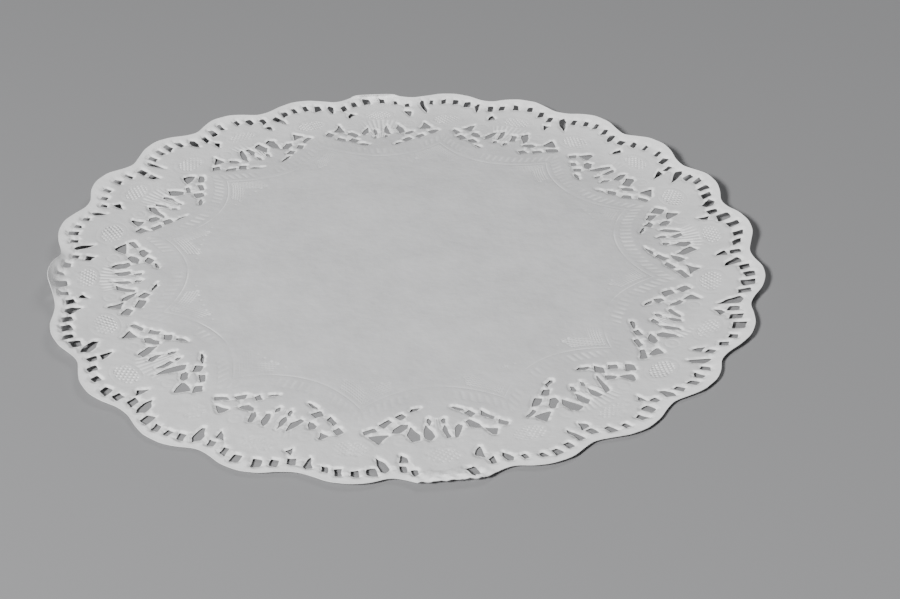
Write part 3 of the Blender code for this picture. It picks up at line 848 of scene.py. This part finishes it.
# The mid surface is thickened both ways along its normals and walled round every edge
def addSheet(name):
    flat, triangles, surface, fromHole = sheetSurface()
    normals = vertexNormals(surface, triangles)
    half = 0.5 * paper["thickness"]
    top, under = surface + half * normals, surface - half * normals
    count = len(flat)
    directed = np.concatenate([triangles[:, (0, 1)], triangles[:, (1, 2)], triangles[:, (2, 0)]])
    code = directed[:, 0] * count + directed[:, 1]
    border = directed[~np.isin(code, directed[:, 1] * count + directed[:, 0])]
    start, end = border[:, 0], border[:, 1]
    walls = np.concatenate([np.stack([start, start + count, end], axis=1),
                            np.stack([end, start + count, end + count], axis=1)])
    faces = np.concatenate([triangles, triangles[:, ::-1] + count, walls])
    points = (np.concatenate([top, under]) - boxMiddle()) * mm
    points[:, 2] = np.maximum(points[:, 2], paper["lowest"] * mm)
    mesh = bpy.data.meshes.new(name)
    mesh.from_pydata(points.tolist(), [], faces.tolist())
    mesh.polygons.foreach_set("use_smooth", np.arange(len(faces)) < 2 * len(triangles))

    def setLayer(layer, kind, domain, field, values):
        mesh.attributes.new(layer, kind, domain).data.foreach_set(field, values)

    def edgeCode(pairs):
        low, high = np.sort(pairs, axis=1).astype(np.int64).T
        return low * 2 * count + high

    ends = np.empty(2 * len(mesh.edges), dtype=np.int32)
    mesh.edges.foreach_get("vertices", ends)
    sharp = np.isin(edgeCode(ends.reshape(-1, 2)), edgeCode(np.concatenate([border, border + count])))
    setLayer("sharp_edge", "BOOLEAN", "EDGE", "value", sharp)
    side = np.repeat((1.0, -1.0), count)  # the chart's third number tells the top from the underside
    chart = np.column_stack([np.tile(flat, (2, 1)), side])
    setLayer("chart", "FLOAT_VECTOR", "POINT", "vector", chart.astype(np.float32).ravel())
    holeNear = np.minimum(np.tile(fromHole, 2), paper["holeReach"])
    setLayer("fromHole", "FLOAT", "POINT", "value", holeNear.astype(np.float32))
    mesh.validate()
    a, b, c = (surface[triangles[:, i]] for i in range(3))
    area = 0.5 * np.linalg.norm(np.cross(b - a, c - a), axis=1).sum() * mm ** 2
    print("sheet:", len(faces), "triangles, one side", round(float(area) * 1e4, 1), "cm2")
    return addObject(name, mesh)


# Shader maths

class Wire:  # a socket that takes part in sums
    def __init__(self, tree, socket):
        self.tree, self.socket = tree, socket

    def node(self, kind, settings=None, inputs=None, out=0):
        return addNode(self.tree, kind, settings, inputs, out)

    def maths(self, operation, *others):
        return self.node("ShaderNodeMath", {"operation": operation}, dict(enumerate((self,) + others)))

    def __add__(self, other):
        return self.maths("ADD", other)

    def __mul__(self, other):
        return self.maths("MULTIPLY", other)

    def __sub__(self, other):
        return self.maths("SUBTRACT", other)

    def __rsub__(self, other):
        return (self * -1.0) + other

    __radd__ = __add__
    __rmul__ = __mul__

    def wave(self, pitch):
        return (self * (2.0 * math.pi / pitch)).maths("COSINE") * 0.5 + 0.5

    def hump(self, width):
        return self.maths("ABSOLUTE").eased(width, 0.0)

    def eased(self, low, high):  # 0 at low, easing to 1 at high
        settings = {"interpolation_type": "SMOOTHSTEP"}
        return self.node("ShaderNodeMapRange", settings, {0: self, 1: low, 2: high})


# A node's settings come first, then its sockets' values or links
def addNode(tree, kind, settings=None, inputs=None, out=0):
    node = tree.nodes.new(kind)
    for key, value in (settings or {}).items():
        setattr(node, key, value)
    for key, value in (inputs or {}).items():
        if isinstance(value, Wire):
            tree.links.new(value.socket, node.inputs[key])
        else:
            node.inputs[key].default_value = value
    return Wire(tree, node.outputs[out]) if len(node.outputs) else None


def length(a, b):  # of a flat vector
    return (a * a + b * b).maths("SQRT")


def ovalPattern(across, out, oval):  # the net of blobs and the ring round it, as in ovalRelief
    turn, middle, halfAcross, halfAlong = oval
    a = math.radians(turn)
    u = across * math.cos(a) - out * math.sin(a)
    v = across * math.sin(a) + out * math.cos(a) - middle
    inside = length(u * (1.0 / halfAcross), v * (1.0 / halfAlong)).eased(*emboss["netEdge"][::-1])
    pitch = emboss["blobPitch"]
    one, other = (u + v) * math.sqrt(0.5), (u - v) * math.sqrt(0.5)
    net = one.wave(pitch) * other.wave(pitch) * inside * paperLook["blobs"]
    gapAcross, gapAlong = emboss["ringGap"]
    ring = length(u * (1.0 / (halfAcross + gapAcross)), v * (1.0 / (halfAlong + gapAlong))) - 1.0
    ring = (ring * (0.5 * (halfAcross + halfAlong) + gapAlong)).hump(emboss["ringWidth"])
    return net + ring * paperLook["rings"]


# The same pattern's depth in mm, in the shader so that its finest lines stay crisp
def pattern(x, y):
    radius = length(x, y)
    halfRepeat = math.radians(0.5 * repeatAngle)
    first = math.radians(cut["firstFan"] - 0.5 * repeatAngle)
    turned = (y.maths("ARCTAN2", x) - first).maths("FLOORED_MODULO", math.radians(repeatAngle))
    turn = halfRepeat - turned
    across, out = radius * turn.maths("SINE"), radius * turn.maths("COSINE")
    reach = across.maths("ABSOLUTE")
    depth = ovalPattern(across, out, emboss["mainOval"]) + ovalPattern(reach, out, emboss["midOval"])

    footAcross, footOut = emboss["rayFoot"]
    near, far, half = emboss["raySpan"]
    nearFade, farFade, sideFade = emboss["rayFade"]
    toSide, away = across - footAcross, out - footOut
    spread = toSide.maths("ARCTAN2", away) * (180.0 / math.pi)
    fromFoot = length(toSide, away)
    rays = spread.wave(emboss["rayPitch"]) * spread.maths("ABSOLUTE").eased(half, half - sideFade)
    rays = rays * fromFoot.eased(near - nearFade, near) * fromFoot.eased(far, far - farFade)
    depth += rays * paperLook["rays"]

    scrollAcross, scrollOut, scrollRadius, _ = emboss["scroll"]
    ringWidth, eyeWidth = emboss["scrollWidth"]
    fromScroll = length(reach - scrollAcross, out - scrollOut)
    depth += ((fromScroll - scrollRadius).hump(ringWidth) + fromScroll.hump(eyeWidth)) * paperLook["scrolls"]

    line, bow, _ = emboss["border"]
    above = out - line - across * across * bow
    depth += above.hump(emboss["borderWidth"]) * paperLook["border"]
    low, high, pitch, _ = emboss["bars"]
    lowFade, highFade = emboss["barFade"]
    bars = (across + across * reach * emboss["barCrowd"]).wave(pitch)
    bars = bars * above.eased(low - lowFade, low + lowFade) * above.eased(high, high - highFade)
    depth += bars * paperLook["bars"]

    low, high, starts, pitch = emboss["patch"]
    lowFade, highFade, sideFade = emboss["patchFade"]
    slant, share = emboss["patchCross"]
    inPatch = above.eased(lowFade - low, -lowFade - low) * above.eased(-high - highFade, highFade - high)
    inPatch = inPatch * reach.eased(starts - sideFade, starts + sideFade)
    hatch = above.wave(pitch).maths("MAXIMUM", (reach - above * slant).wave(pitch) * share)
    depth += hatch * inPatch * paperLook["hatch"]

    ringRadius, apart, size, _ = emboss["dots"]
    stepped = turn * (180.0 / math.pi / apart)
    along = (stepped - stepped.maths("ROUND")) * (math.radians(apart) * ringRadius)
    dots = length(along, radius - ringRadius).eased(paperLook["dotReach"] * size, 0.0)
    dots = dots * turn.maths("ABSOLUTE").eased(*(math.radians(edge) for edge in emboss["dotFade"]))
    around = (y.maths("ARCTAN2", x) - math.radians(cut["firstFan"])) * (2.0 * cut["repeats"])
    inset = cut["rimRadius"] + around.maths("COSINE") * (0.5 * cut["scallopDepth"]) - radius
    return depth + dots * paperLook["dots"], radius, inset


paperLook = {
    # painted shade and light: the plain middle is painted darker and the rim band near white, in place of
    # shade on the flat middle and light on the lifted rim
    "shadedMiddleColour": (0.605, 0.605, 0.61, 1.0),
    "laceColour": (0.71, 0.71, 0.71, 1.0),
    "laceEase": (100.0, 128.0),  # radii between which the one turns into the other
    "litBandColour": (0.97, 0.97, 0.97, 1.0),
    "bandEase": (7.5, 4.0),      # and insets from the edge
    # painted highlight, partly real: the pressed pattern and the lips round the holes are whitened by their
    # depth, for paper stretched whiter there and for light catching the raised edges
    "whiteAndHighlightColour": (1.00, 1.00, 0.995, 1.0),
    "whiteAndHighlightEase": (0.02, 0.20),     # and depths of the pattern
    "whiteAndHighlightShare": 0.9,
    "lipReach": (1.7, 0.1),      # distances from a hole where its lip starts and is deepest
    "lipLeast": 0.25,            # its least share
    "mottle": 0.15,              # cloudiness of the pulp
    "roughness": 0.74,
    "specular": 0.25,
    # depths in mm
    "blobs": 0.41,
    "rings": 0.055,
    "rays": 0.23,
    "scrolls": 0.08,
    "border": 0.13,
    "bars": 0.125,
    "hatch": 0.145,
    "dots": 0.14,
    "lips": 0.36,
    "felt": 0.22,                # the slower unevenness of the pressed sheet
    "grain": 0.015,
    # where the pattern is pressed flat again: from and to, out from the middle, and how much
    "frontWear": (-50.0, -130.0, 0.72),
    "backWear": (30.0, 110.0, 0.30),
    "patternFade": (0.1, 0.9),   # distances from a hole between which the pattern sets in
    "smudgeEase": (0.35, 0.65),  # values of the noises between which they set in
    "wornEase": (0.30, 0.62),
    "dotReach": 1.5,             # of a dot's size
    "noises": {
        # scale, detail, roughness
        "smudge": (0.35, 1.0, 0.5),
        "worn": (0.055, 1.0, 0.5),
        "grain": (2.1, 3.0, 0.6),
        "felt": (0.30, 2.0, 0.5),
        "cloud": (0.075, 4.0, 0.6),
    },
}


def paperMaterial():
    look = paperLook
    material = bpy.data.materials.new("embossedPaper")
    material.use_nodes = True
    tree = material.node_tree
    tree.nodes.clear()
    chart = addNode(tree, "ShaderNodeAttribute", {"attribute_name": "chart"}, out="Vector")

    def noise(name):
        scale, detail, roughness = look["noises"][name]
        inputs = {"Vector": chart, "Scale": scale, "Detail": detail, "Roughness": roughness}
        return chart.node("ShaderNodeTexNoise", inputs=inputs)

    def mixed(share, one, other, kind="MIX"):
        settings = {"data_type": "RGBA", "blend_type": kind}
        return addNode(tree, "ShaderNodeMix", settings, {0: share, 6: one, 7: other}, out=2)

    def flattened(low, high, share):
        return 1.0 - y.eased(low, high) * share

    x = addNode(tree, "ShaderNodeSeparateXYZ", inputs={0: chart})
    y, side = (Wire(tree, x.socket.node.outputs[i]) for i in (1, 2))
    pressed, radius, inset = pattern(x, y)
    fromHole = addNode(tree, "ShaderNodeAttribute", {"attribute_name": "fromHole"}, out="Fac")
    least = look["lipLeast"]
    # the lips' patchy strength, which also sets where the painted highlight whitens them
    smudge = noise("smudge").eased(*look["smudgeEase"]) * (1.0 - least) + least
    lip = fromHole.eased(*look["lipReach"]) * smudge
    worn = noise("worn").eased(*look["wornEase"])
    worn = worn * flattened(*look["frontWear"]) * flattened(*look["backWear"])
    pressed = pressed * fromHole.eased(*look["patternFade"]) * worn + lip * look["lips"]
    height = noise("grain") * look["grain"] + noise("felt") * look["felt"] - pressed * side
    bump = addNode(tree, "ShaderNodeBump", inputs={"Strength": 1.0, "Distance": mm, "Height": height})

    # painted shade towards the middle and painted light on the rim band
    colour = mixed(radius.eased(*look["laceEase"]), look["shadedMiddleColour"], look["laceColour"])
    colour = mixed(inset.eased(*look["bandEase"]), colour, look["litBandColour"])
    # painted highlight and stretched white paper, whitest where the pattern and the lips are pressed deepest
    whiteAndHighlightShare = pressed.eased(*look["whiteAndHighlightEase"]) * look["whiteAndHighlightShare"]
    colour = mixed(whiteAndHighlightShare, colour, look["whiteAndHighlightColour"])
    pulp = (noise("cloud") - 0.5) * (2.0 * look["mottle"]) + 1.0
    tint = addNode(tree, "ShaderNodeCombineColor", inputs={0: pulp, 1: pulp, 2: pulp})
    colour = mixed(1.0, colour, tint, "MULTIPLY")
    shader = addNode(tree, "ShaderNodeBsdfPrincipled", inputs={
        "Base Color": colour, "Roughness": look["roughness"], "Metallic": 0.0,
        "Specular IOR Level": look["specular"], "Normal": bump})
    addNode(tree, "ShaderNodeOutputMaterial", inputs={0: shader})
    return material


doily = addSheet("laceDoily")
doily.data.materials.append(paperMaterial())
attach(doily, "root")
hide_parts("doily")
print("doily made")


# Floor, light and camera

studio = {
    "floorColour": (0.26, 0.26, 0.265, 1.0),
    "floorRoughness": 0.8,
    "floorSize": 6.0,
    "world": (0.55, 0.57, 0.60, 1.0),
    "worldStrength": 0.14,
    # name, place, aim, size, power
    "lamps": (
        ("key", (-1.00, -1.36, 1.25), (0.0, 0.0, 0.0), 0.40, 73.0),
        ("fill", (1.2, 1.6, 2.2), (0.0, 0.0, 0.0), 1.4, 24.0),
    ),
    "camera": (0.01942, -0.65639, 0.41532),
    "tilt": 33.559,              # degrees below level
    "roll": -0.640,
    "lens": 74.7024,             # lens and sensor in mm
    "sensor": 36.0,
    "nearest": 0.01,
}


def addFloor():
    half = 0.5 * studio["floorSize"]
    mesh = bpy.data.meshes.new("table")
    corners = [(-half, -half, 0), (half, -half, 0), (half, half, 0), (-half, half, 0)]
    mesh.from_pydata(corners, [], [(0, 1, 2, 3)])
    material = bpy.data.materials.new("plainTable")
    material.use_nodes = True
    shader = material.node_tree.nodes["Principled BSDF"]
    shader.inputs["Base Color"].default_value = studio["floorColour"]
    shader.inputs["Roughness"].default_value = studio["floorRoughness"]
    mesh.materials.append(material)
    addObject("table", mesh)


def addLamps():
    for name, place, aim, size, power in studio["lamps"]:
        lamp = bpy.data.lights.new(name, "AREA")
        lamp.shape, lamp.size, lamp.energy = "DISK", size, power
        holder = addObject(name, lamp)
        holder.location = place
        holder.rotation_euler = (Vector(aim) - Vector(place)).to_track_quat("-Z", "Y").to_euler()
    world = bpy.data.worlds.new("studio")
    bpy.context.scene.world = world
    world.use_nodes = True
    background = world.node_tree.nodes["Background"]
    background.inputs[0].default_value = studio["world"]
    background.inputs[1].default_value = studio["worldStrength"]


def addCamera():
    tilt, roll = math.radians(studio["tilt"]), math.radians(studio["roll"])
    right, down = Vector((1, 0, 0)), Vector((0, -math.sin(tilt), -math.cos(tilt)))
    ahead = Vector((0, math.cos(tilt), -math.sin(tilt)))
    across = right * math.cos(roll) - down * math.sin(roll)
    lower = right * math.sin(roll) + down * math.cos(roll)
    turned = Matrix((across, -lower, -ahead)).transposed()
    data = bpy.data.cameras.new("camera")
    data.lens, data.sensor_width, data.clip_start = studio["lens"], studio["sensor"], studio["nearest"]
    camera = addObject("camera", data)
    place = Vector(studio["camera"]) - Vector(boxMiddle() * mm)
    camera.matrix_world = Matrix.Translation(place) @ turned.to_4x4()
    bpy.context.scene.camera = camera


addFloor()
addLamps()
addCamera()
print("stage made")
